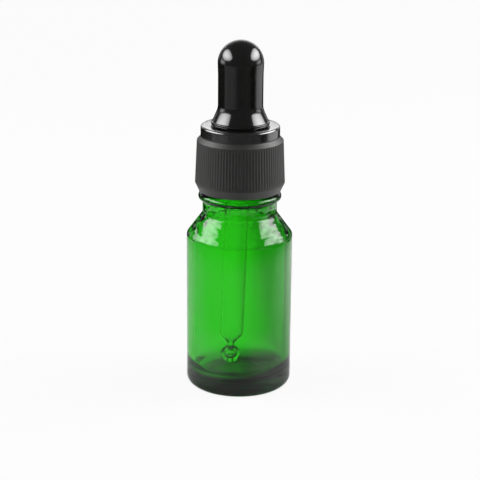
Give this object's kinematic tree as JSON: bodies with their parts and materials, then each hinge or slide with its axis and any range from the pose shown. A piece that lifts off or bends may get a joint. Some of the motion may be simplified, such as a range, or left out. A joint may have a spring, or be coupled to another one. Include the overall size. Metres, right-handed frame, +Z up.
{
  "type": "dropper bottle",
  "caption": "Round glass dropper bottle with a ribbed screw cap, a rubber squeeze bulb and a ball-tipped glass pipette.",
  "frame": {"origin": "centre of the bottle's bearing ring, on the surface it stands on", "axes": "+Z up along the bottle's axis; the thread's axis is the same line; the pipette leans towards -X"},
  "size_m": [0.025, 0.025, 0.0833],
  "materials": {
    "green_glass": "clear green, polished",
    "black_plastic": "satin skirt with a glossier top ring",
    "black_rubber": "glossy moulded rubber",
    "clear_glass": "clear, fire polished"
  },
  "bodies": {
    "bottle": {"glass_bottle": "green_glass"},
    "bulb": {"rubber_bulb": "black_rubber"},
    "cap": {"screw_cap": "black_plastic", "glass_pipette": "clear_glass"}
  },
  "joints": [
    {"name": "dropper_lift", "type": "slide", "parent": "bottle", "child": "bulb", "axis": [0, 0, 1], "range_m": [0, 0.06]},
    {"name": "cap_turn", "type": "hinge", "parent": "bulb", "child": "cap", "pos_m": [0, 0, 0.0593], "axis": [0, 0, 1], "range_deg": [0, 7200]}
  ],
  "couplings": [
    {"joint": "dropper_lift", "follows": "cap_turn", "m_per_rad": 0.00047746}
  ]
}
